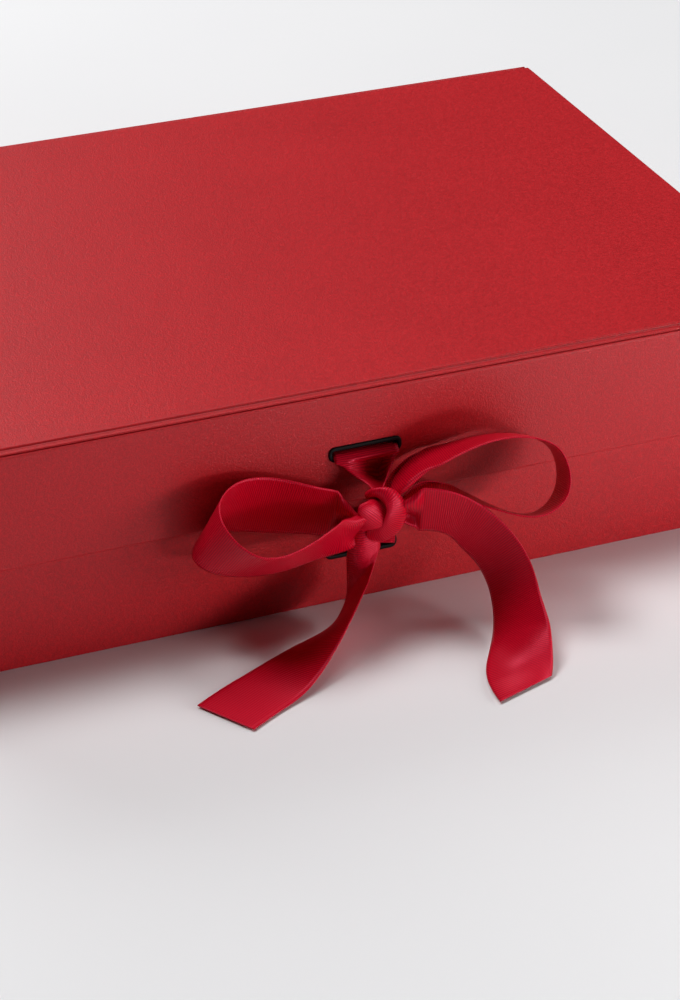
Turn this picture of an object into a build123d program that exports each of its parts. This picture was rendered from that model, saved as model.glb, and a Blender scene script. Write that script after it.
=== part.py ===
from build123d import *
import os

# Gift box with a hinged lid, a front flap held by hidden magnets, and a grosgrain ribbon tied in a bow.
# Millimetres. Origin at the centre of the underside, +X right, -Y front (the flap side), +Z up.

# Finished sizes
lid_width = 226.0
box_width = 224.0
depth = 160.0
height = 56.0
flap_bottom = 27.0

# Sheet thicknesses of one wrapped panel, outside to inside
paper = 0.25
board = 1.5
liner = 0.2
panel = paper + board + liner
turn_in = 3.0

# Gap between pieces that move against each other, and the creases at the hinges
gap = 0.3
hinge_drop = 0.9
flap_face = -depth / 2
wall_face = flap_face + panel + gap
spine_face = depth / 2
spine_inner = spine_face - panel
lid_front = wall_face
lid_back = spine_inner - gap
wall_top = height - panel - gap
hinge_edge = height - hinge_drop

# Ribbon and its slot eyelets
ribbon_width = 15.5
ribbon_thick = 0.4
upper_slot_z = 40.2
lower_slot_z = 13.6
eyelet_length = 17.8
eyelet_height = 4.2
opening_length = 15.9
opening_height = 1.7
barrel_wall = 0.5
flange = 0.5

# Hidden closure discs
disc_radius = 5.0
disc_thick = 1.0
disc_x = 70.0
disc_z = 38.0
pocket_depth = 1.05

os.makedirs("parts", exist_ok=True)


def save(shape, name):
    export_step(shape, "parts/" + name + ".step")


def block(low, high):
    size = [b - a for a, b in zip(low, high)]
    centre = [(a + b) / 2 for a, b in zip(low, high)]
    return Pos(*centre) * Box(*size)


def layer(low, high, axis, outward, start, end, inset):
    """Part of a panel between two depths below its outer face, its four edges drawn in by inset."""
    new_low = [value + inset for value in low]
    new_high = [value - inset for value in high]
    if outward > 0:
        new_low[axis] = high[axis] - end
        new_high[axis] = high[axis] - start
    else:
        new_low[axis] = low[axis] + start
        new_high[axis] = low[axis] + end
    return block(new_low, new_high)


def wrapped_panel(low, high, axis, outward):
    """Board core, outer paper turned in over all four edges, and the liner that fills the inner face."""
    core = layer(low, high, axis, outward, paper, paper + board, paper)
    lining = layer(low, high, axis, outward, paper + board, panel, turn_in)
    cover = block(low, high) - core - lining
    return core, cover, lining


def slot_block(z, length, tall, front, back):
    """Round-ended slot volume running through a front panel from y = front to y = back."""
    outline = Plane.XZ * SlotOverall(length, tall)
    return Pos(0, back, z) * extrude(outline, back - front)


def disc_pair(y_front, thickness, radius):
    """A disc at each end of the flap, its axis along Y."""
    shape = None
    for x in (-disc_x, disc_x):
        centre = (x, y_front + thickness / 2, disc_z)
        disc = Pos(*centre) * Rot(90, 0, 0) * Cylinder(radius, thickness)
        shape = disc if shape is None else shape + disc
    return shape


def eyelet(z, front, back, flange_front):
    """Slot eyelet: a barrel through the panel with one flange, on the front or the back of it."""
    if flange_front:
        collar = slot_block(z, eyelet_length, eyelet_height, front - flange, front)
        ends = (front - flange, back)
    else:
        collar = slot_block(z, eyelet_length, eyelet_height, back, back + flange)
        ends = (front, back + flange)
    barrel_length = opening_length + 2 * barrel_wall
    barrel_tall = opening_height + 2 * barrel_wall
    barrel = slot_block(z, barrel_length, barrel_tall, front, back)
    hole = slot_block(z, opening_length, opening_height, ends[0] - 1, ends[1] + 1)
    return barrel + collar - hole


def cut_slots(shapes, heights, front, back):
    """Open the round-ended holes that the eyelet barrels sit in."""
    result = []
    for shape in shapes:
        for z in heights:
            hole = slot_block(z, opening_length + 2 * barrel_wall, opening_height + 2 * barrel_wall,
                              front - 1, back + 1)
            shape = shape - hole
        result.append(shape)
    return result


def folded_strip(points, width):
    """Ribbon that runs straight across X, folded along a path given as (y, z) points."""
    outline = Plane.YZ * trace(Polyline(*points), ribbon_thick)
    return extrude(outline, width / 2, both=True)


def flat_face(*corners):
    return Face(Wire.make_polygon(corners, close=True))


def ribbon_band(stations):
    """Ribbon through pairs of edge points, as a thin closed solid of flat facets."""
    pairs = [(Vector(*a), Vector(*b)) for a, b in stations]
    middles = [(a + b) * 0.5 for a, b in pairs]
    sections = []
    for i, (a, b) in enumerate(pairs):
        ahead = middles[min(i + 1, len(pairs) - 1)]
        behind = middles[max(i - 1, 0)]
        across = (a - b).normalized()
        side = (ahead - behind).cross(across).normalized() * (ribbon_thick / 2)
        sections.append([a + side, b + side, b - side, a - side])
    faces = [flat_face(*sections[0]), flat_face(*sections[-1])]
    for here, there in zip(sections, sections[1:]):
        for k in range(4):
            m = (k + 1) % 4
            # the same diagonal on both broad sides keeps the band evenly thick
            if k == 2:
                faces.append(flat_face(here[k], here[m], there[k]))
                faces.append(flat_face(here[m], there[m], there[k]))
            else:
                faces.append(flat_face(here[k], here[m], there[m]))
                faces.append(flat_face(here[k], there[m], there[k]))
    return Solid(Shell(faces))


# Root body: base and the four walls. The walls run down to the floor and the base sits between them.
half = box_width / 2
inner = half - panel
base_front = wall_face + panel

parts = wrapped_panel((-inner, base_front, 0), (inner, spine_inner, panel), 2, -1)
for shape, word in zip(parts, ("board", "cover", "liner")):
    save(shape, "base_" + word)

parts = wrapped_panel((-half, spine_inner, 0), (half, spine_face, hinge_edge), 1, 1)
for shape, word in zip(parts, ("board", "cover", "liner")):
    save(shape, "spine_" + word)

for side, name in ((-1, "left_wall_"), (1, "right_wall_")):
    xs = sorted((side * inner, side * half))
    low = (xs[0], base_front, 0)
    high = (xs[1], spine_inner, wall_top)
    for shape, word in zip(wrapped_panel(low, high, 0, side), ("board", "cover", "liner")):
        save(shape, name + word)

parts = wrapped_panel((-half, wall_face, 0), (half, base_front, wall_top), 1, -1)
parts = cut_slots(parts, (upper_slot_z, lower_slot_z), wall_face, base_front)
wall_pockets = disc_pair(wall_face + paper, pocket_depth, disc_radius + 0.1)
save(parts[0] - wall_pockets, "front_wall_board")
save(parts[1], "front_wall_cover")
save(parts[2], "front_wall_liner")
save(disc_pair(wall_face + paper, disc_thick, disc_radius), "front_wall_steel_discs")

# The upper wall eyelet has its flange indoors, so the flap can close flat over it.
save(eyelet(upper_slot_z, wall_face, base_front, False), "wall_upper_eyelet")
save(eyelet(lower_slot_z, wall_face, base_front, True), "wall_lower_eyelet")

# Ribbon inside the box, in by the upper wall slot and down to the lower one.
run_y = base_front + 0.9
inside_path = [(wall_face + 0.1, upper_slot_z), (run_y, upper_slot_z),
               (run_y, lower_slot_z), (wall_face + 0.1, lower_slot_z)]
save(folded_strip(inside_path, ribbon_width), "ribbon_inner_run")
outside_path = [(wall_face - 0.1, lower_slot_z), (wall_face - 1.0, lower_slot_z),
                (wall_face - 1.4, 17.0), (wall_face - 3.0, 21.0)]
save(folded_strip(outside_path, 14.0), "ribbon_lower_strand")

# Lid body
lid_half = lid_width / 2
parts = wrapped_panel((-lid_half, lid_front, height - panel), (lid_half, lid_back, height), 2, 1)
for shape, word in zip(parts, ("board", "cover", "liner")):
    save(shape, "lid_" + word)

# Paper hinges leave the lid's edges and slope down towards the flap and the spine.
for name, edge, sign in (("flap_hinge_paper", lid_front, -1), ("lid_hinge_paper", lid_back, 1)):
    profile = [(edge, height), (edge + sign * 1.13, height - 0.45),
               (edge + sign * 1.03, height - 0.68), (edge, height - 0.27)]
    outline = Plane.YZ * Polyline(*profile, close=True)
    save(extrude(make_face(outline), lid_half, both=True), name)

# Flap body: panel, magnets and eyelet
flap_back = flap_face + panel
parts = wrapped_panel((-lid_half, flap_face, flap_bottom), (lid_half, flap_back, hinge_edge), 1, -1)
parts = cut_slots(parts, (upper_slot_z,), flap_face, flap_back)
pocket_front = flap_back - liner - pocket_depth
save(parts[0] - disc_pair(pocket_front, pocket_depth, disc_radius + 0.1), "flap_board")
save(parts[1], "flap_cover")
save(parts[2], "flap_liner")
save(disc_pair(flap_back - liner - disc_thick, disc_thick, disc_radius), "flap_magnets")
save(eyelet(upper_slot_z, flap_face, flap_back, True), "flap_eyelet")

# Knot at the flap's lower edge
knot = Pos(0.5, -87.6, 28.3) * fillet(Box(10.4, 9.6, 11.0).edges(), 3.6)
save(knot, "bow_knot")

# Bow ribbons, each as pairs of points on its two edges
upper_strand = [
    ((-7.7, -78.3, 40.2), (7.7, -78.3, 40.2)),
    ((-7.7, -80.9, 40.2), (7.7, -80.9, 40.2)),
    ((-6.8, -82.3, 38.2), (7.6, -82.3, 38.2)),
    ((-1.5, -85.6, 34.6), (4.6, -85.6, 34.6)),
    ((-1.5, -86.6, 33.0), (4.6, -86.6, 33.0)),
]
left_loop = [
    ((-4.0, -88.3, 31.0), (-4.0, -84.5, 25.5)),
    ((-13.5, -86.5, 36.0), (-15.0, -81.5, 22.5)),
    ((-23.5, -84.0, 39.5), (-26.0, -81.2, 24.8)),
    ((-34.0, -86.5, 41.0), (-37.0, -81.5, 27.0)),
    ((-38.2, -90.5, 39.8), (-42.0, -83.6, 26.2)),
    ((-39.0, -95.0, 37.4), (-43.4, -87.0, 24.7)),
    ((-33.5, -102.0, 31.7), (-34.7, -91.0, 20.8)),
    ((-23.0, -101.7, 31.5), (-24.0, -91.3, 20.0)),
    ((-13.0, -97.1, 33.8), (-13.3, -89.8, 20.5)),
    ((-4.0, -91.5, 31.5), (-4.0, -89.3, 25.5)),
]
right_loop = [
    ((4.5, -90.6, 32.2), (4.5, -84.8, 31.4)),
    ((10.1, -93.6, 41.5), (13.3, -81.5, 36.4)),
    ((21.7, -96.0, 45.0), (24.7, -82.0, 39.1)),
    ((33.4, -98.0, 46.3), (36.3, -84.5, 39.1)),
    ((38.6, -100.5, 43.0), (42.0, -86.6, 36.2)),
    ((39.8, -103.2, 37.8), (43.2, -89.2, 31.9)),
    ((33.6, -105.0, 29.4), (37.7, -91.8, 22.4)),
    ((22.5, -98.8, 30.5), (26.9, -85.4, 24.0)),
    ((13.5, -91.0, 31.5), (16.0, -82.0, 27.0)),
    ((4.5, -87.5, 29.5), (4.5, -84.6, 26.0)),
]
right_tail = [
    ((4.5, -91.0, 31.0), (4.5, -89.0, 25.2)),
    ((13.0, -97.0, 33.0), (11.0, -90.3, 20.0)),
    ((21.8, -98.6, 29.5), (17.2, -90.6, 17.0)),
    ((26.9, -101.4, 24.0), (22.2, -92.0, 12.7)),
    ((30.0, -105.3, 17.7), (24.3, -95.6, 7.0)),
    ((30.3, -110.9, 12.4), (22.8, -102.4, 1.8)),
    ((29.6, -117.0, 8.0), (18.5, -111.0, 0.7)),
    ((27.6, -122.0, 4.0), (13.2, -120.0, 0.6)),
    ((26.2, -125.4, 0.8), (11.5, -130.4, 0.8)),
]
left_tail = [
    ((4.0, -86.5, 23.6), (-3.0, -88.6, 23.6)),
    ((3.6, -85.6, 21.5), (-6.3, -87.0, 13.0)),
    ((-0.9, -89.7, 18.0), (-6.1, -85.4, 5.0)),
    ((-7.4, -97.1, 13.5), (-10.4, -88.4, 2.0)),
    ((-13.7, -103.3, 9.6), (-17.7, -91.4, 0.8)),
    ((-20.2, -108.3, 5.1), (-26.0, -94.7, 0.7)),
    ((-27.2, -112.5, 1.6), (-34.2, -98.7, 0.7)),
    ((-34.8, -116.1, 0.7), (-42.3, -102.8, 0.7)),
    ((-42.1, -120.4, 0.7), (-50.3, -107.3, 0.7)),
]
for name, stations in (
    ("ribbon_upper_strand", upper_strand),
    ("bow_left_loop", left_loop),
    ("bow_right_loop", right_loop),
    ("bow_right_tail", right_tail),
    ("bow_left_tail", left_tail),
):
    save(ribbon_band(stations) - knot, name)
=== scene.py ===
import bpy
import bmesh
import math
import numpy as np
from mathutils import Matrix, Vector


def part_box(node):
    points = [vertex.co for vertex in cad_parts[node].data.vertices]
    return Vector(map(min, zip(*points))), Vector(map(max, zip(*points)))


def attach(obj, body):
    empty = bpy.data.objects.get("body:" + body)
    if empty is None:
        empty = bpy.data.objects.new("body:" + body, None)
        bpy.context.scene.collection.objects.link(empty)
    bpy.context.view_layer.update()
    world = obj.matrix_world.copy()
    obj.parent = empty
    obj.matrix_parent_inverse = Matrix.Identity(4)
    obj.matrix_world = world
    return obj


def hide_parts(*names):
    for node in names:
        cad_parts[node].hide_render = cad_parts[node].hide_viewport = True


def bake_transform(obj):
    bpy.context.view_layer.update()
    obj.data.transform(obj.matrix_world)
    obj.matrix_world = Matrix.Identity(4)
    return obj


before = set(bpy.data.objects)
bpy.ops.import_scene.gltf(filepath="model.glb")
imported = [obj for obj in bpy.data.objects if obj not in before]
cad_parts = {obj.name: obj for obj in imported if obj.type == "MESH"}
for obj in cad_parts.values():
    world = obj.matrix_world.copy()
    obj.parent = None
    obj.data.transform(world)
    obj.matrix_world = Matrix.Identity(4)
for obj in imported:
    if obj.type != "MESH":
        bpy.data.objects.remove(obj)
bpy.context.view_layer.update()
mm = 0.001

# The camera looks down on the front of the box from its left, through a long lens, so that the lid, the flap
# and the bow are all in view.
aim = Vector((-6.0, -80.0, 28.2)) * mm
turn = math.radians(-21.8)
rise = math.radians(30.0)
camera_distance = 672 * mm
camera_data = bpy.data.cameras.new("camera")
camera_data.lens = 107.5
camera_data.sensor_width = 36.0
camera = bpy.data.objects.new("camera", camera_data)
away = Vector((math.sin(turn) * math.cos(rise), -math.cos(turn) * math.cos(rise), math.sin(rise)))
camera.location = aim + away * camera_distance
camera.rotation_mode = "QUATERNION"
camera.rotation_quaternion = (-away).to_track_quat("-Z", "Y")
bpy.context.scene.collection.objects.link(camera)
bpy.context.scene.camera = camera
bpy.context.scene.view_settings.view_transform = "Standard"

# The studio: a sheet of pale card for a floor, two wide softboxes overhead, a panel behind that puts the
# sheen on the lid, and small low lights in front and to the right that throw the bow's shadow on the flap.
floor_half = 2.5


def new_mesh_object(name, verts, faces, smooth=True):
    mesh = bpy.data.meshes.new(name)
    mesh.from_pydata([tuple(v) for v in verts], [], [tuple(f) for f in faces])
    mesh.validate()
    bm = bmesh.new()
    bm.from_mesh(mesh)
    bmesh.ops.recalc_face_normals(bm, faces=bm.faces)
    bm.to_mesh(mesh)
    bm.free()
    mesh.polygons.foreach_set("use_smooth", [smooth] * len(mesh.polygons))
    made = bpy.data.objects.new(name, mesh)
    bpy.context.scene.collection.objects.link(made)
    return made


def new_material(name):
    """A new node material and its Principled shader."""
    material = bpy.data.materials.new(name)
    material.use_nodes = True
    return material, material.node_tree.nodes["Principled BSDF"]


def add_node(tree, kind, links=None, **settings):
    """Adds a node, sets its properties and sockets by name, and links the sockets given."""
    node = tree.nodes.new(kind)
    for key, value in settings.items():
        if hasattr(node, key):
            setattr(node, key, value)
        else:
            node.inputs[key.replace("_", " ")].default_value = value
    for key, source in (links or {}).items():
        tree.links.new(source, node.inputs[key])
    return node


floor_corners = [(-1, -1), (1, -1), (1, 1), (-1, 1)]
floor = new_mesh_object("floor", [(x * floor_half, y * floor_half, 0) for x, y in floor_corners],
                        [(0, 1, 2, 3)], smooth=False)
card, shader = new_material("pale card")
place = add_node(card.node_tree, "ShaderNodeTexCoord")
cloud = add_node(card.node_tree, "ShaderNodeTexNoise", {"Vector": place.outputs["Object"]}, Scale=9.0)
tone = add_node(card.node_tree, "ShaderNodeMix", {"Factor": cloud.outputs["Fac"]}, data_type="RGBA")
tone.inputs["A"].default_value = (0.80, 0.80, 0.815, 1)
tone.inputs["B"].default_value = (0.84, 0.84, 0.85, 1)
card.node_tree.links.new(tone.outputs["Result"], shader.inputs["Base Color"])
shader.inputs["Roughness"].default_value = 0.6
floor.data.materials.append(card)

world = bpy.data.worlds.new("studio")
bpy.context.scene.world = world
world.use_nodes = True
world.node_tree.nodes["Background"].inputs["Color"].default_value = (1.0, 1.0, 1.0, 1)
world.node_tree.nodes["Background"].inputs["Strength"].default_value = 0.01


def softbox(name, azimuth, elevation, distance, width, tall, power):
    """A soft rectangular lamp aimed at the box from a direction given as for the camera."""
    lamp = bpy.data.lights.new(name, "AREA")
    lamp.shape = "RECTANGLE"
    lamp.size = width
    lamp.size_y = tall
    lamp.energy = power
    holder = bpy.data.objects.new(name, lamp)
    a = math.radians(azimuth)
    e = math.radians(elevation)
    towards = Vector((math.sin(a) * math.cos(e), -math.cos(a) * math.cos(e), math.sin(e)))
    holder.location = towards * distance
    holder.rotation_mode = "QUATERNION"
    holder.rotation_quaternion = (-towards).to_track_quat("-Z", "Y")
    bpy.context.scene.collection.objects.link(holder)
    return holder


softbox("overhead left softbox", 235, 68, 4.0, 1.6, 1.3, 84)
softbox("overhead right softbox", 130, 68, 4.0, 1.5, 1.3, 36)
softbox("back panel", 200, 32, 1.4, 1.0, 0.7, 10)
softbox("right fill", 45, 14, 0.50, 0.20, 0.14, 0.72)
softbox("front strip", 24, 4, 0.60, 0.16, 0.06, 0.62)
softbox("side panel", 90, 25, 1.2, 0.5, 0.4, 0.8)


# The outer paper: pearlescent red wrapping paper over greyboard, glued down, with its edges turned in 3 mm
# over the inner face of each panel. The board makes square edges that the paper rounds a little.
edge_round = 0.45 * mm
corner_round = 0.6 * mm
paper_thick = 0.25 * mm
liner_thick = 0.2 * mm
turn_in = 3.0 * mm
arc_steps = 4


def paper_grain_group():
    """Fine mottled grain of a coated paper: a tone mask, a roughness and a height that vary over it."""
    group = bpy.data.node_groups.new("paper grain", "ShaderNodeTree")
    group.interface.new_socket("Grain Size", in_out="INPUT", socket_type="NodeSocketFloat")
    group.interface.new_socket("Roughness Base", in_out="INPUT", socket_type="NodeSocketFloat")
    group.interface.new_socket("Tone", in_out="OUTPUT", socket_type="NodeSocketFloat")
    group.interface.new_socket("Roughness", in_out="OUTPUT", socket_type="NodeSocketFloat")
    group.interface.new_socket("Height", in_out="OUTPUT", socket_type="NodeSocketFloat")
    into = group.nodes.new("NodeGroupInput")
    out = group.nodes.new("NodeGroupOutput")
    place = add_node(group, "ShaderNodeTexCoord")
    fine = add_node(group, "ShaderNodeTexNoise",
                    {"Vector": place.outputs["Object"], "Scale": into.outputs["Grain Size"]},
                    Detail=3.0, Roughness=0.65)
    flecks = add_node(group, "ShaderNodeMath", {0: into.outputs["Grain Size"]}, operation="MULTIPLY")
    flecks.inputs[1].default_value = 2.3
    speck = add_node(group, "ShaderNodeTexVoronoi",
                     {"Vector": place.outputs["Object"], "Scale": flecks.outputs[0]})
    patch = add_node(group, "ShaderNodeTexNoise", {"Vector": place.outputs["Object"]}, Scale=28.0, Detail=2.0)
    mixed = add_node(group, "ShaderNodeMix", {"A": fine.outputs["Fac"], "B": speck.outputs["Distance"]},
                     Factor=0.35)
    toned = add_node(group, "ShaderNodeMix", {"A": mixed.outputs["Result"], "B": patch.outputs["Fac"]},
                     Factor=0.12)
    spread = add_node(group, "ShaderNodeMapRange", {"Value": toned.outputs["Result"]}, clamp=True)
    spread.inputs["From Min"].default_value = 0.25
    spread.inputs["From Max"].default_value = 0.75
    rough = add_node(group, "ShaderNodeMath",
                     {0: spread.outputs["Result"], 2: into.outputs["Roughness Base"]},
                     operation="MULTIPLY_ADD")
    rough.inputs[1].default_value = 0.12
    group.links.new(spread.outputs["Result"], out.inputs["Tone"])
    group.links.new(rough.outputs[0], out.inputs["Roughness"])
    group.links.new(mixed.outputs["Result"], out.inputs["Height"])
    return group


paper_grain = paper_grain_group()


def paper_material(name, dark, light, grain_size, roughness, bump, specular=0.4):
    material, shader = new_material(name)
    tree = material.node_tree
    grain = add_node(tree, "ShaderNodeGroup", node_tree=paper_grain)
    grain.inputs["Grain Size"].default_value = grain_size
    grain.inputs["Roughness Base"].default_value = roughness
    tone = add_node(tree, "ShaderNodeMix", {"Factor": grain.outputs["Tone"]}, data_type="RGBA")
    tone.inputs["A"].default_value = dark
    tone.inputs["B"].default_value = light
    relief = add_node(tree, "ShaderNodeBump", {"Height": grain.outputs["Height"]}, Strength=bump,
                      Distance=0.00012)
    tree.links.new(tone.outputs["Result"], shader.inputs["Base Color"])
    tree.links.new(grain.outputs["Roughness"], shader.inputs["Roughness"])
    tree.links.new(relief.outputs["Normal"], shader.inputs["Normal"])
    shader.inputs["Specular IOR Level"].default_value = specular
    return material


pearl_paper = paper_material("pearl red paper", (0.32, 0.001, 0.005, 1), (0.60, 0.003, 0.010, 1),
                             grain_size=1150.0, roughness=0.42, bump=0.9)


def rounded_ring(half_a, half_b, corner):
    """Points once round a rectangle with rounded corners, about its own centre."""
    ring = []
    for k, (sa, sb) in enumerate(((1, 1), (-1, 1), (-1, -1), (1, -1))):
        for step in range(arc_steps + 1):
            angle = math.radians(90 * k + 90 * step / arc_steps)
            ring.append((sa * (half_a - corner) + corner * math.cos(angle),
                         sb * (half_b - corner) + corner * math.sin(angle)))
    return ring


def wrapped_cover(name, node, body, axis, outward, slots=(), top_cut=0.0):
    """The paper shell of one panel, from the box of its CAD node: outer face, rounded edges, the turn-in on
    the inner face, and the hollow that the board fills. Slots are (z, length, height) holes through it."""
    low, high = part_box(node)
    high = high - Vector((0, 0, top_cut))
    across = [k for k in range(3) if k != axis]
    centre = (low + high) / 2
    half_a = (high - low)[across[0]] / 2
    half_b = (high - low)[across[1]] / 2
    thick = (high - low)[axis]
    face_at = high[axis] if outward > 0 else low[axis]

    def lift(points, depth):
        lifted = []
        for a, b in points:
            p = [0, 0, 0]
            p[across[0]] = centre[across[0]] + a
            p[across[1]] = centre[across[1]] + b
            p[axis] = face_at - outward * depth
            lifted.append(p)
        return lifted

    def ring(inset, depth):
        corner = max(corner_round - inset, 0.1 * mm)
        return lift(rounded_ring(half_a - inset, half_b - inset, corner), depth)

    rings = [ring(edge_round + 0.1 * mm, 0)]
    for step in range(arc_steps + 1):
        angle = math.radians(90 * step / arc_steps)
        rings.append(ring(edge_round * (1 - math.sin(angle)), edge_round * (1 - math.cos(angle))))
    for step in range(arc_steps + 1):
        angle = math.radians(90 * step / arc_steps)
        rings.append(ring(edge_round * (1 - math.cos(angle)), thick - edge_round * (1 - math.sin(angle))))
    rings.append(ring(edge_round + 0.1 * mm, thick))
    rings.append(ring(turn_in, thick))
    rings.append(ring(turn_in, thick - liner_thick))
    rings.append(ring(paper_thick, thick - liner_thick))
    rings.append(ring(paper_thick, paper_thick))
    count = len(rings[0])
    verts = [p for r in rings for p in r]
    faces = []
    for r in range(len(rings) - 1):
        for k in range(count):
            m = (k + 1) % count
            faces.append((r * count + k, r * count + m, (r + 1) * count + m, (r + 1) * count + k))
    outer_cap = list(range(count))
    inner_cap = list(range((len(rings) - 1) * count, len(rings) * count))
    if not slots:
        made = new_mesh_object(name, verts, faces + [outer_cap, inner_cap])
    else:
        mesh = bpy.data.meshes.new(name)
        bm = bmesh.new()
        points = [bm.verts.new(p) for p in verts]
        for f in faces:
            bm.faces.new([points[k] for k in f])
        for cap, depth in ((outer_cap, 0), (inner_cap, paper_thick)):
            edges = [bm.edges.get((points[cap[k]], points[cap[k - 1]])) for k in range(count)]
            for z, length, tall in slots:
                hole_ring = rounded_ring(length / 2, tall / 2, tall / 2.2)
                hole = lift([(a, b + z - centre[2]) for a, b in hole_ring], depth)
                hole_points = [bm.verts.new(p) for p in hole]
                edges += [bm.edges.new((hole_points[k], hole_points[k - 1])) for k in range(len(hole))]
            bmesh.ops.triangle_fill(bm, edges=edges, use_beauty=True)
        rims = {}
        for edge in bm.edges:
            if len(edge.link_faces) == 1:
                z = (edge.verts[0].co.z + edge.verts[1].co.z) / 2
                nearest = min(range(len(slots)), key=lambda s: abs(slots[s][0] - z))
                rims.setdefault(nearest, []).append(edge)
        for edges in rims.values():
            bmesh.ops.bridge_loops(bm, edges=edges)
        bmesh.ops.recalc_face_normals(bm, faces=bm.faces)
        bm.to_mesh(mesh)
        bm.free()
        mesh.polygons.foreach_set("use_smooth", [True] * len(mesh.polygons))
        made = bpy.data.objects.new(name, mesh)
        bpy.context.scene.collection.objects.link(made)
    made.data.set_sharp_from_angle(angle=math.radians(40))
    made.data.materials.append(pearl_paper)
    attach(made, body)
    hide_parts(node)
    return made


slot_length = 16.9 * mm
slot_tall = 2.7 * mm
upper_slot_z = 40.2 * mm
lower_slot_z = 13.6 * mm
hinge_cut = 0.2 * mm
wrapped_cover("base_outer_paper", "base_cover", "box", 2, -1)
wrapped_cover("spine_outer_paper", "spine_cover", "box", 1, 1, top_cut=hinge_cut)
wrapped_cover("left_wall_outer_paper", "left_wall_cover", "box", 0, -1)
wrapped_cover("right_wall_outer_paper", "right_wall_cover", "box", 0, 1)
wrapped_cover("front_wall_outer_paper", "front_wall_cover", "box", 1, -1,
              [(upper_slot_z, slot_length, slot_tall), (lower_slot_z, slot_length, slot_tall)])
wrapped_cover("lid_outer_paper", "lid_cover", "lid", 2, 1)
wrapped_cover("flap_outer_paper", "flap_cover", "flap", 1, -1,
              [(upper_slot_z, slot_length, slot_tall)], hinge_cut)

# The liners: plain matt paper of the same red, cut 3 mm short of each panel's edges and glued over the
# turn-ins.
liner_paper = paper_material("matt lining paper", (0.32, 0.004, 0.008, 1), (0.42, 0.008, 0.014, 1),
                             grain_size=900.0, roughness=0.62, bump=0.25)
for panel in ("base", "spine", "left_wall", "right_wall", "front_wall", "lid", "flap"):
    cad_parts[panel + "_liner"].data.materials.clear()
    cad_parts[panel + "_liner"].data.materials.append(liner_paper)

# The boards: grey board made of waste paper, 1.5 mm thick, die-cut. It is sealed inside the papers.
greyboard = paper_material("grey board", (0.28, 0.26, 0.23, 1), (0.40, 0.375, 0.33, 1),
                           grain_size=700.0, roughness=0.8, bump=0.6)
for panel in ("base", "spine", "left_wall", "right_wall", "front_wall", "lid", "flap"):
    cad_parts[panel + "_board"].data.materials.clear()
    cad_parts[panel + "_board"].data.materials.append(greyboard)

# The closure: nickel-plated magnet discs in the flap meet plain steel discs in the front wall, both buried in
# pockets in the board.


def disc_material(name, colour, roughness):
    material, shader = new_material(name)
    tree = material.node_tree
    place = add_node(tree, "ShaderNodeTexCoord")
    smear = add_node(tree, "ShaderNodeTexNoise", {"Vector": place.outputs["Object"]}, Scale=400.0, Detail=4.0)
    ramp = add_node(tree, "ShaderNodeMapRange", {"Value": smear.outputs["Fac"]})
    ramp.inputs["To Min"].default_value = roughness
    ramp.inputs["To Max"].default_value = roughness + 0.2
    tone = add_node(tree, "ShaderNodeMix", {"Factor": smear.outputs["Fac"]}, data_type="RGBA")
    tone.inputs["A"].default_value = (*[c * 0.8 for c in colour], 1)
    tone.inputs["B"].default_value = (*colour, 1)
    tree.links.new(tone.outputs["Result"], shader.inputs["Base Color"])
    tree.links.new(ramp.outputs["Result"], shader.inputs["Roughness"])
    shader.inputs["Metallic"].default_value = 1.0
    return material


for node, finish in (("flap_magnets", disc_material("nickel plate", (0.62, 0.60, 0.56), 0.2)),
                     ("front_wall_steel_discs", disc_material("plain steel", (0.50, 0.50, 0.51), 0.35))):
    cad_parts[node].data.materials.clear()
    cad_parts[node].data.materials.append(finish)

# The paper hinges: where lid meets flap and lid meets spine only the outer paper joins the boards. It dips
# into a groove along the lid's edge, and its slack makes a small fold that overhangs the next board's edge.
hinge_width = 224.8 * mm
hinge_samples = 120
lid_low, lid_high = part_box("lid_cover")


def hinge_strip(name, node, edge, sign):
    """A strip from the lid's edge at y = edge out over the next board; its section is (out, down) in mm."""
    top = lid_high.z
    profile = [(edge + sign * out * mm, top - down * mm) for out, down in (
        (-0.25, 0.42), (0.05, 0.50), (0.30, 0.66), (0.55, 0.64), (0.80, 0.50), (1.10, 0.40), (1.40, 0.40),
        (1.66, 0.46), (1.82, 0.60), (1.79, 0.76), (1.62, 0.88), (1.50, 0.98), (1.62, 1.06), (1.85, 1.05),
        (2.08, 1.00), (2.20, 1.04), (2.25, 1.20), (2.16, 1.50))]
    line = np.array(profile)
    tangents = np.gradient(line, axis=0)
    tangents /= np.linalg.norm(tangents, axis=1)[:, None]
    inward = np.stack([tangents[:, 1], -tangents[:, 0]], 1) * sign
    under = line + inward * (paper_thick * 0.7)
    loop = list(line) + list(under[::-1])
    stations = np.linspace(-hinge_width / 2, hinge_width / 2, hinge_samples)
    verts = [(x, p[0], p[1]) for x in stations for p in loop]
    count = len(loop)
    faces = []
    for s in range(len(stations) - 1):
        for k in range(count):
            m = (k + 1) % count
            faces.append((s * count + k, s * count + m, (s + 1) * count + m, (s + 1) * count + k))
    faces.append(tuple(range(count)))
    faces.append(tuple(range((len(stations) - 1) * count, len(stations) * count)))
    made = new_mesh_object(name, verts, faces)
    made.data.materials.append(pearl_paper)
    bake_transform(made)
    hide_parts(node)
    return made


hinge_strip("flap_paper_hinge", "flap_hinge_paper", lid_low.y, -1)
hinge_strip("lid_paper_hinge", "lid_hinge_paper", lid_high.y, 1)

# The slot eyelets: moulded black plastic, a thin barrel pressed through the panel with one rounded flange
# that keeps the ribbon off the cut paper edge.
flange_half = (8.8 * mm, 1.85 * mm)
opening_half = (7.95 * mm, 0.85 * mm)
barrel_wall = 0.45 * mm


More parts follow.
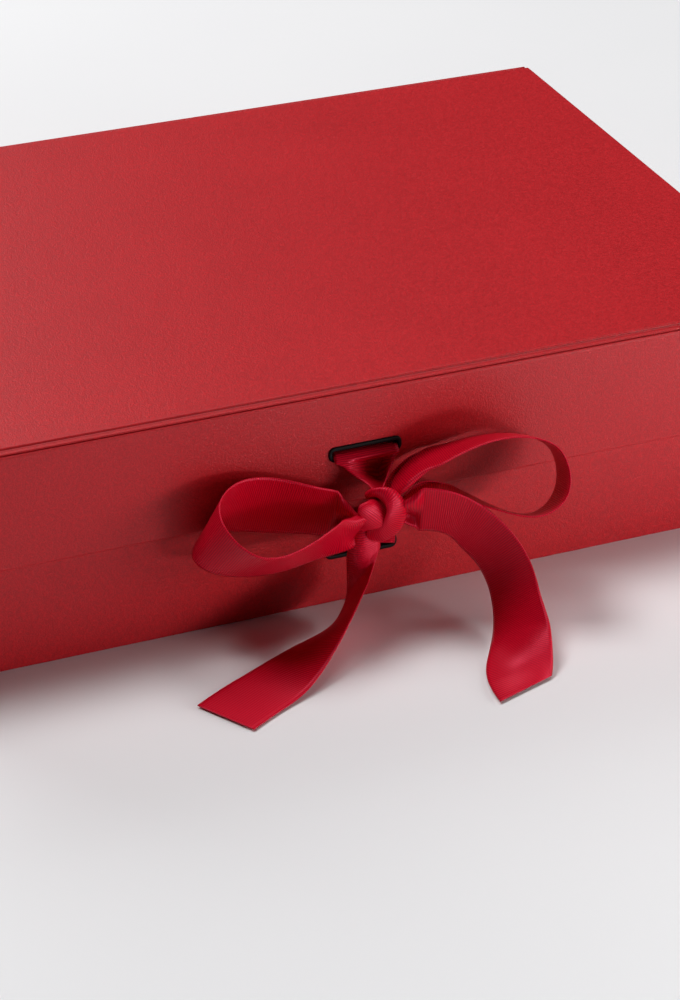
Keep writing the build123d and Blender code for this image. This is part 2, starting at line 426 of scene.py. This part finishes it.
def black_plastic_material():
    material, shader = new_material("black plastic")
    tree = material.node_tree
    place = add_node(tree, "ShaderNodeTexCoord")
    pits = add_node(tree, "ShaderNodeTexNoise", {"Vector": place.outputs["Object"]}, Scale=2600.0, Detail=2.0)
    tone = add_node(tree, "ShaderNodeMix", {"Factor": pits.outputs["Fac"]}, data_type="RGBA")
    tone.inputs["A"].default_value = (0.002, 0.002, 0.002, 1)
    tone.inputs["B"].default_value = (0.006, 0.005, 0.005, 1)
    relief = add_node(tree, "ShaderNodeBump", {"Height": pits.outputs["Fac"]}, Strength=0.2, Distance=0.00005)
    tree.links.new(tone.outputs["Result"], shader.inputs["Base Color"])
    tree.links.new(relief.outputs["Normal"], shader.inputs["Normal"])
    shader.inputs["Roughness"].default_value = 0.55
    shader.inputs["Specular IOR Level"].default_value = 0.15
    return material


black_plastic = black_plastic_material()


def slot_eyelet(name, node, body, z, flange_front):
    low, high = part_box(node)
    face = low.y if flange_front else high.y
    far = high.y if flange_front else low.y
    inward = 1 if flange_front else -1
    lip = 0.5 * mm

    def ring(half_a, half_b, corner, depth):
        return [(a, face + inward * depth, z + b) for a, b in rounded_ring(half_a, half_b, corner)]

    oa, ob = opening_half
    fa, fb = flange_half
    soft = 0.28 * mm
    length = abs(far - face)
    rings = [ring(oa, ob, 0.5 * mm, length), ring(oa, ob, 0.5 * mm, soft)]
    for degrees in (30, 60, 90):
        s = soft * (1 - math.cos(math.radians(degrees)))
        d = soft * (1 - math.sin(math.radians(degrees)))
        rings.append(ring(oa + s, ob + s, 0.5 * mm + s, d))
    for degrees in (0, 30, 60, 90):
        s = soft * (1 - math.sin(math.radians(degrees)))
        d = soft * (1 - math.cos(math.radians(degrees)))
        rings.append(ring(fa - s, fb - s, 1.5 * mm - s, d))
    rings.append(ring(fa, fb, 1.5 * mm, lip))
    rings.append(ring(oa + barrel_wall, ob + barrel_wall, 0.9 * mm, lip))
    rings.append(ring(oa + barrel_wall, ob + barrel_wall, 0.9 * mm, length))
    count = len(rings[0])
    verts = [p for r in rings for p in r]
    faces = []
    for r in range(len(rings)):
        nxt = (r + 1) % len(rings)
        for k in range(count):
            m = (k + 1) % count
            faces.append((r * count + k, r * count + m, nxt * count + m, nxt * count + k))
    made = new_mesh_object(name, verts, faces)
    made.data.set_sharp_from_angle(angle=math.radians(50))
    made.data.materials.append(black_plastic)
    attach(made, body)
    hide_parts(node)
    return made


slot_eyelet("flap_slot_eyelet", "flap_eyelet", "flap", upper_slot_z, True)
slot_eyelet("wall_upper_slot_eyelet", "wall_upper_eyelet", "box", upper_slot_z, False)
slot_eyelet("wall_lower_slot_eyelet", "wall_lower_eyelet", "box", lower_slot_z, True)

# The ribbon: double-faced polyester grosgrain, 15.5 mm wide, woven with a thick cross rib every half
# millimetre. It goes in by the upper slots, down inside the front wall and out by the lower slot.
ribbon_wide = 15.5 * mm
ribbon_half_thick = 0.13 * mm
rib_pitch = 0.50 * mm
rib_height = 0.07 * mm
samples_per_rib = 4


def grosgrain_material():
    """Red ribbed weave: ribs and threads from the ribbon's own length and width, and a slow dye change; the
    colour is painted darker in the rib valleys and lighter on the crests, as painted shade.
    """
    group = bpy.data.node_groups.new("grosgrain weave and painted rib shade", "ShaderNodeTree")
    group.interface.new_socket("Rib Pitch", in_out="INPUT", socket_type="NodeSocketFloat")
    group.interface.new_socket("Tone", in_out="OUTPUT", socket_type="NodeSocketFloat")
    group.interface.new_socket("Height", in_out="OUTPUT", socket_type="NodeSocketFloat")
    into = group.nodes.new("NodeGroupInput")
    out = group.nodes.new("NodeGroupOutput")
    place = add_node(group, "ShaderNodeUVMap", uv_map="weave")
    parts = add_node(group, "ShaderNodeSeparateXYZ", {"Vector": place.outputs["UV"]})
    turns = add_node(group, "ShaderNodeMath", {0: parts.outputs["Y"], 1: into.outputs["Rib Pitch"]},
                     operation="DIVIDE")
    angle = add_node(group, "ShaderNodeMath", {0: turns.outputs[0]}, operation="MULTIPLY")
    angle.inputs[1].default_value = math.tau
    wave = add_node(group, "ShaderNodeMath", {0: angle.outputs[0]}, operation="COSINE")
    rib = add_node(group, "ShaderNodeMapRange", {"Value": wave.outputs[0]})
    rib.inputs["From Min"].default_value = -1.0
    threads = add_node(group, "ShaderNodeTexNoise", {"Vector": place.outputs["UV"]}, Scale=5200.0, Detail=1.0)
    dye = add_node(group, "ShaderNodeTexNoise", {"Vector": place.outputs["UV"]}, Scale=60.0, Detail=2.0)
    # This mix of ribs and threads is both the relief (Height) and the colour tone; as tone it paints shade
    # into the rib valleys.
    woven = add_node(group, "ShaderNodeMix", {"A": rib.outputs["Result"], "B": threads.outputs["Fac"]},
                     Factor=0.4)
    toned = add_node(group, "ShaderNodeMix", {"A": woven.outputs["Result"], "B": dye.outputs["Fac"]},
                     Factor=0.2)
    group.links.new(toned.outputs["Result"], out.inputs["Tone"])
    group.links.new(woven.outputs["Result"], out.inputs["Height"])

    material, shader = new_material("red grosgrain")
    tree = material.node_tree
    weave = add_node(tree, "ShaderNodeGroup", node_tree=group)
    weave.inputs["Rib Pitch"].default_value = rib_pitch
    # The colour goes from the dark value in the rib valleys, which is painted shade, to the light value on
    # the rib crests; the thread and dye noise vary it at random.
    tone = add_node(tree, "ShaderNodeMix", {"Factor": weave.outputs["Tone"]}, data_type="RGBA")
    tone.inputs["A"].default_value = (0.24, 0.0006, 0.006, 1)
    tone.inputs["B"].default_value = (0.80, 0.0020, 0.026, 1)
    relief = add_node(tree, "ShaderNodeBump", {"Height": weave.outputs["Height"]}, Strength=0.35,
                      Distance=0.00006)
    tree.links.new(tone.outputs["Result"], shader.inputs["Base Color"])
    tree.links.new(relief.outputs["Normal"], shader.inputs["Normal"])
    shader.inputs["Roughness"].default_value = 0.36
    shader.inputs["Specular IOR Level"].default_value = 1.0
    shader.inputs["Specular Tint"].default_value = (1.0, 0.12, 0.22, 1)
    return material


grosgrain = grosgrain_material()


def smooth_through(knots, values, at):
    """Natural cubic spline through the values at the knots, read at other places."""
    n = len(knots)
    gaps = np.diff(knots)
    system = np.zeros((n, n))
    right = np.zeros((n, values.shape[1]))
    system[0, 0] = 1
    system[-1, -1] = 1
    slopes = np.diff(values, axis=0) / gaps[:, None]
    for k in range(1, n - 1):
        system[k, k - 1] = gaps[k - 1]
        system[k, k] = 2 * (gaps[k - 1] + gaps[k])
        system[k, k + 1] = gaps[k]
        right[k] = 6 * (slopes[k] - slopes[k - 1])
    bend = np.linalg.solve(system, right)
    k = np.clip(np.searchsorted(knots, at) - 1, 0, n - 2)
    h = gaps[k][:, None]
    past = (at - knots[k])[:, None]
    left = h - past
    return (bend[k] * left ** 3 + bend[k + 1] * past ** 3) / (6 * h) \
        + (values[k] / h - bend[k] * h / 6) * left + (values[k + 1] / h - bend[k + 1] * h / 6) * past


def unit(vectors):
    return vectors / np.maximum(np.linalg.norm(vectors, axis=-1, keepdims=True), 1e-12)


def ribbon_piece(name, node, body, stations, pleats=1.0, phase=0.0, towards=None,
                 fullness=1.0, roll=None):
    """A length of ribbon through pairs of edge points (millimetres). Where the pairs stand closer together
    than the ribbon is wide, the rest of its width goes into pleats along it, pushed out in the direction
    towards. With roll, the ribbon is curled up lengthwise instead, into a scroll that deep."""
    edge_a = np.array([s[0] for s in stations]) * mm
    edge_b = np.array([s[1] for s in stations]) * mm
    middle = (edge_a + edge_b) / 2
    knots = np.r_[0, np.cumsum(np.linalg.norm(np.diff(middle, axis=0), axis=1))]
    dense = np.linspace(0, knots[-1], 400)
    line = smooth_through(knots, middle, dense)
    run = np.r_[0, np.cumsum(np.linalg.norm(np.diff(line, axis=0), axis=1))]
    length = run[-1]
    count = int(length / (rib_pitch / samples_per_rib)) + 1
    along = np.linspace(0, length, count)
    at = np.interp(along, run, dense)
    a = smooth_through(knots, edge_a, at)
    b = smooth_through(knots, edge_b, at)
    centre = (a + b) / 2
    chord = np.linalg.norm(b - a, axis=1)
    across = unit(b - a)
    share = chord / ribbon_wide
    blend_up = np.clip((share - 0.80) / 0.12, 0, 1)
    share = share + (1 - share) * blend_up * blend_up * (3 - 2 * blend_up)
    chord = share * ribbon_wide
    forward = unit(np.gradient(centre, axis=0))
    out = np.cross(forward, across)
    if towards is not None:
        out = np.array(towards)[None] - forward * (forward @ np.array(towards))[:, None]
    out = unit(out)
    if roll is None:
        depth = chord * np.sqrt(np.maximum(1 / share ** 2 - 1, 0) / 2) / (math.pi * pleats)
        depth *= fullness * np.clip((share - 0.10) / 0.5, 0.3, 1)
        rows = np.linspace(-0.5, 0.5, int(12 * pleats) + 9)
        fold = np.cos(math.tau * pleats * rows - phase)
        sideways = chord[:, None] * rows
        outwards = depth[:, None] * (fold - fold[0])
    else:
        rows = np.linspace(-0.5, 0.5, 41)
        half_round = (chord / 2 + roll) / 2
        swept = ribbon_wide / half_round
        bearing = swept[:, None] * (rows + 0.5) - math.pi
        closing = 1 - 0.22 * np.maximum(bearing + math.pi - math.tau * 0.8, 0) / math.pi
        sideways = chord[:, None] / 2 * np.sin(bearing) * closing
        outwards = roll * (np.cos(bearing) * closing - 1)
    sheet = centre[:, None] + across[:, None] * sideways[..., None] + out[:, None] * outwards[..., None]
    normal = unit(np.cross(np.gradient(sheet, axis=0), np.gradient(sheet, axis=1)))
    edge_fade = np.clip((0.5 - np.abs(rows)) * ribbon_wide / (0.7 * mm), 0.25, 1)
    ribs = 0.5 + 0.5 * np.cos(math.tau * along / rib_pitch)
    swell = ribbon_half_thick + rib_height * edge_fade * ribs[:, None]
    top = sheet + normal * swell[..., None]
    bottom = sheet - normal * swell[..., None]
    wide = len(rows)
    verts = np.concatenate([top.reshape(-1, 3), bottom.reshape(-1, 3)])
    grid = np.arange(count * wide).reshape(count, wide)
    under = grid + count * wide
    faces = np.stack([grid[:-1, :-1], grid[1:, :-1], grid[1:, 1:], grid[:-1, 1:]], -1).reshape(-1, 4)
    faces = np.concatenate([faces, np.stack([under[:-1, :-1], under[:-1, 1:], under[1:, 1:], under[1:, :-1]],
                                            -1).reshape(-1, 4)])
    rims = ((grid[:, 0], under[:, 0]), (under[:, -1], grid[:, -1]),
            (under[0], grid[0]), (grid[-1], under[-1]))
    for upper, lower in rims:
        faces = np.concatenate([faces, np.stack([upper[:-1], lower[:-1], lower[1:], upper[1:]], -1)])
    made = new_mesh_object(name, verts, faces)
    uv = made.data.uv_layers.new(name="weave")
    place = np.stack(np.meshgrid(along, rows * ribbon_wide, indexing="ij"), -1)[..., ::-1].reshape(-1, 2)
    place = np.concatenate([place, place])
    corner_vertex = np.zeros(len(made.data.loops), np.int32)
    made.data.loops.foreach_get("vertex_index", corner_vertex)
    uv.data.foreach_set("uv", place[corner_vertex].astype(np.float32).ravel())
    made.data.materials.append(grosgrain)
    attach(made, body)
    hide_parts(node)
    return made


def straight_across(path, left=-7.7, right=7.7):
    """Stations for ribbon that runs flat across the box, from (y, z) points."""
    return [((left, y, z), (right, y, z)) for y, z in path]


ribbon_piece("ribbon_inner_run_weave", "ribbon_inner_run", "box", straight_across([
    (-77.6, 40.2), (-75.7, 40.15), (-75.1, 39.7), (-74.9, 38.6), (-74.9, 27.0),
    (-74.9, 15.2), (-75.1, 14.1), (-75.7, 13.65), (-77.6, 13.6)]))
ribbon_piece("ribbon_lower_strand_weave", "ribbon_lower_strand", "box", straight_across([
    (-77.2, 13.5), (-78.6, 13.5), (-79.5, 13.9), (-79.9, 15.4), (-80.2, 17.6), (-81.0, 20.8),
    (-82.6, 23.6)], -6.9, 6.9), pleats=0.4)
ribbon_piece("ribbon_upper_strand_weave", "ribbon_upper_strand", "flap", [
    ((-7.7, -78.6, 39.8), (7.7, -78.6, 39.8)),
    ((-7.7, -80.2, 39.8), (7.7, -80.2, 39.8)),
    ((-7.6, -80.9, 39.3), (7.6, -80.9, 39.3)),
    ((-6.8, -81.7, 38.6), (6.9, -81.7, 38.6)),
    ((-5.5, -82.8, 37.2), (5.9, -82.6, 37.0)),
    ((-4.1, -84.2, 36.0), (4.3, -84.2, 36.0)),
    ((-2.6, -86.5, 35.2), (2.7, -86.2, 35.1)),
    ((-1.9, -88.2, 34.5), (1.2, -88.2, 34.4)),
    ((-1.9, -88.8, 33.3), (0.8, -88.8, 33.0))],
    pleats=1.0, phase=-math.pi * 0.85, towards=(-0.4, -0.8, 0.3))

# The bow: the same ribbon tied by hand. Each loop and tail leaves the knot gathered into pleats and opens out
# to its full width; the loops stand clear of the box, and the tails drop to the table and lie along it.
ribbon_piece("bow_left_loop_weave", "bow_left_loop", "flap", [
    ((-5.3, -88.3, 29.0), (-2.9, -85.0, 22.4)),
    ((-6.5, -87.8, 30.7), (-5.0, -83.4, 22.8)),
    ((-8.2, -87.1, 33.1), (-7.4, -82.2, 21.6)),
    ((-13.5, -86.5, 36.2), (-15.2, -81.3, 22.4)),
    ((-23.4, -84.0, 39.6), (-26.2, -80.9, 24.8)),
    ((-34.0, -86.3, 40.9), (-36.9, -81.0, 26.8)),
    ((-38.2, -90.5, 39.6), (-41.8, -83.4, 26.2)),
    ((-39.1, -94.8, 37.4), (-43.4, -87.0, 24.7)),
    ((-37.2, -99.2, 34.2), (-40.0, -89.8, 22.2)),
    ((-33.5, -101.9, 31.7), (-34.7, -91.0, 20.8)),
    ((-22.8, -101.7, 31.5), (-23.9, -91.3, 20.0)),
    ((-13.0, -97.6, 33.2), (-13.3, -89.5, 20.3)),
    ((-10.8, -95.0, 32.0), (-6.5, -88.6, 20.9)),
    ((-6.5, -92.0, 30.9), (-2.0, -87.5, 21.8))], towards=(-0.4, -0.8, 0.3),
    phase=-math.pi / 2)
ribbon_piece("bow_right_loop_weave", "bow_right_loop", "flap", [
    ((3.6, -90.2, 32.1), (2.0, -86.4, 32.8)),
    ((5.6, -92.6, 35.8), (5.2, -83.8, 35.1)),
    ((8.7, -93.8, 39.2), (10.3, -82.2, 37.3)),
    ((14.4, -95.2, 42.5), (17.6, -81.6, 38.2)),
    ((21.7, -96.0, 45.0), (24.7, -82.0, 39.1)),
    ((33.4, -98.0, 45.2), (36.3, -84.5, 38.6)),
    ((38.4, -100.6, 42.6), (41.8, -86.6, 36.0)),
    ((39.8, -103.2, 37.8), (43.2, -89.2, 31.9)),
    ((38.0, -105.0, 32.2), (41.8, -91.2, 26.0)),
    ((33.6, -105.0, 29.4), (37.7, -91.8, 22.4)),
    ((22.5, -99.8, 30.5), (26.9, -86.4, 24.0)),
    ((16.8, -96.0, 31.5), (22.0, -83.2, 26.6)),
    ((14.0, -91.5, 30.1), (17.4, -82.2, 29.0)),
    ((10.4, -88.5, 28.5), (12.4, -82.6, 30.2)),
    ((6.1, -87.2, 27.9), (7.7, -84.6, 28.8))], towards=(-0.4, -0.8, 0.3),
    phase=-math.pi / 2)
ribbon_piece("bow_right_tail_weave", "bow_right_tail", "flap", [
    ((4.0, -89.2, 30.2), (4.4, -88.4, 25.6)),
    ((5.7, -92.5, 33.5), (6.8, -89.2, 23.9)),
    ((8.9, -95.4, 36.0), (10.4, -89.8, 22.3)),
    ((14.6, -97.2, 34.9), (15.3, -91.0, 20.7)),
    ((21.8, -98.8, 29.5), (18.9, -91.4, 17.2)),
    ((26.9, -101.4, 24.0), (22.2, -92.4, 12.7)),
    ((29.9, -105.3, 17.8), (24.2, -95.6, 7.0)),
    ((29.9, -110.9, 12.2), (22.6, -102.4, 1.8)),
    ((28.9, -117.0, 7.6), (18.3, -111.0, 0.7)),
    ((27.3, -122.0, 3.6), (13.6, -120.0, 0.6)),
    ((26.2, -125.4, 0.8), (11.5, -130.4, 0.8))], towards=(-0.4, -0.8, 0.3),
    phase=-math.pi / 2)
ribbon_piece("bow_left_tail_weave", "bow_left_tail", "flap", [
    ((-0.6, -87.0, 26.0), (-4.6, -86.6, 25.4)),
    ((-0.0, -88.0, 22.4), (-5.9, -87.0, 21.6)),
    ((0.3, -88.5, 19.7), (-6.7, -86.3, 18.0)),
    ((-0.4, -89.0, 18.1), (-6.4, -85.4, 12.4)),
    ((-2.2, -91.0, 16.2), (-6.3, -85.2, 7.5)),
    ((-4.4, -93.6, 15.0), (-7.2, -86.2, 4.8)),
    ((-7.4, -97.1, 13.5), (-10.4, -88.4, 2.0)),
    ((-13.7, -103.3, 9.6), (-17.7, -91.4, 0.8)),
    ((-20.2, -108.3, 5.1), (-26.0, -94.7, 0.7)),
    ((-27.2, -112.5, 1.6), (-34.2, -98.7, 0.7)),
    ((-34.8, -116.1, 0.7), (-42.3, -102.8, 0.7)),
    ((-42.1, -120.4, 0.7), (-50.3, -107.3, 0.7))], pleats=0.5,
    towards=(-0.5, -0.8, 0.2), fullness=0.5)

# The knot: the ribbon's middle goes once over the gathered loops, and its other end crosses over that, round
# the right side and down into the left tail. Both are pulled so tight that they curl up lengthwise.
ribbon_piece("bow_knot_wrap", "bow_knot", "flap", [
    ((-1.0, -89.0, 33.0), (2.9, -89.0, 30.1)),
    ((-3.8, -91.6, 34.2), (1.6, -91.6, 30.0)),
    ((-6.1, -93.2, 34.3), (0.2, -93.2, 28.6)),
    ((-7.2, -93.3, 32.8), (-1.8, -93.3, 27.2)),
    ((-7.1, -91.8, 29.9), (-3.3, -91.8, 25.7)),
    ((-6.0, -89.5, 26.6), (-3.6, -89.5, 24.3))],
    towards=(-0.3, -0.8, 0.5), roll=1.3 * mm)
ribbon_piece("bow_knot_overlap", "bow_knot", "flap", [
    ((-3.7, -88.5, 33.8), (-2.7, -88.5, 31.9)),
    ((-2.2, -90.6, 36.0), (-1.4, -90.6, 33.3)),
    ((0.5, -92.2, 36.5), (-0.8, -92.6, 33.3)),
    ((3.0, -93.2, 34.6), (-0.5, -94.2, 33.1)),
    ((4.2, -93.6, 31.0), (-0.6, -94.8, 31.9)),
    ((3.6, -93.4, 26.9), (-1.0, -94.6, 30.4)),
    ((1.8, -92.4, 23.9), (-1.6, -93.4, 28.4)),
    ((-1.0, -90.8, 22.3), (-2.5, -91.6, 26.7)),
    ((-3.2, -89.2, 22.5), (-3.1, -89.6, 25.5))],
    towards=(-0.3, -0.8, 0.5), roll=1.1 * mm)
